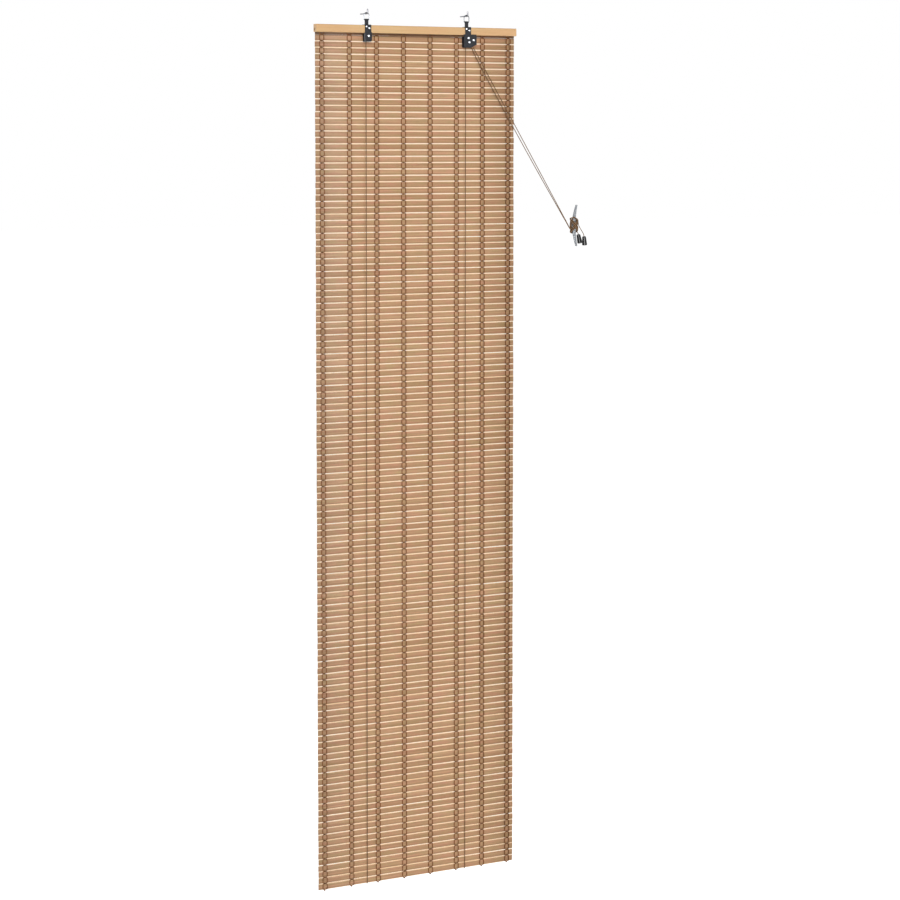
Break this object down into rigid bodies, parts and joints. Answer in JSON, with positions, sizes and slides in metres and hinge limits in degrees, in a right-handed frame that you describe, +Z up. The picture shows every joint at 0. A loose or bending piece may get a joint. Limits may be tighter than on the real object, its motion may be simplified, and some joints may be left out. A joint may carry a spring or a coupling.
{
  "type": "roll-up blind",
  "caption": "Narrow roll-up blind of bamboo slats tied with twine, on a wooden head rail with wall hooks, a pulley hanger, a cord lock, draw cords, cord weights and a wall cleat.",
  "frame": {"origin": "on the wall's plane, midway between the two wall hooks, at the height of their shanks", "axes": "+X along the head rail to the cord lock's side, +Y into the wall, +Z up"},
  "size_m": [0.8316, 0.0435, 2.2455],
  "materials": {
    "rail_wood": "clear satin varnish",
    "bamboo": "stained matte",
    "twine": "twisted jute",
    "cord": "braided",
    "black_sheet": "black enamel",
    "bright_steel": "bright zinc",
    "hook_steel": "grey zinc",
    "ring_wire": "bright nickel",
    "wheel_plastic": "moulded black",
    "cam_brass": "cast",
    "cleat_metal": "grey satin",
    "weight_black": "gloss black"
  },
  "bodies": {
    "blind": {"head_rail": "rail_wood", "upper_slats": "bamboo", "lower_slats": "bamboo", "warp_1": "twine", "warp_2": "twine", "warp_3": "twine", "warp_4": "twine", "warp_5": "twine", "warp_6": "twine", "warp_7": "twine", "warp_8": "twine", "mat_brads": "bright_steel", "hanger_screws": "bright_steel", "axle_rivets": "bright_steel", "left_hook": "hook_steel", "right_hook": "hook_steel", "left_ring": "ring_wire", "right_ring": "ring_wire", "pulley_hanger": "black_sheet", "lock_hanger": "black_sheet", "left_lift_cord": "cord", "right_lift_cord": "cord", "left_draw_cord": "cord", "right_draw_cord": "cord", "cleat_turns": "cord", "cord_tail_1": "cord", "cord_tail_2": "cord", "cord_weight_1": "weight_black", "cord_weight_2": "weight_black", "wall_cleat": "cleat_metal"},
    "left_wheel": {"left_pulley": "wheel_plastic"},
    "guide_wheel": {"guide_pulley": "wheel_plastic"},
    "roller": {"lock_roller": "bright_steel"},
    "cam": {"lock_cam": "cam_brass"}
  },
  "joints": [
    {"name": "left_pulley_spin", "type": "hinge", "parent": "blind", "child": "left_wheel", "pos_m": [-0.148, -0.01785, -0.0556], "axis": [0, 1, 0], "continuous": true},
    {"name": "guide_pulley_spin", "type": "hinge", "parent": "blind", "child": "guide_wheel", "pos_m": [0.152, -0.01785, -0.0556], "axis": [0, 1, 0], "continuous": true},
    {"name": "lock_roller_spin", "type": "hinge", "parent": "blind", "child": "roller", "pos_m": [0.154, -0.01785, -0.0664], "axis": [0, 1, 0], "continuous": true},
    {"name": "lock_cam_lift", "type": "hinge", "parent": "blind", "child": "cam", "pos_m": [0.167, -0.01785, -0.0608], "axis": [0, 1, 0], "range_deg": [0, 40]}
  ]
}
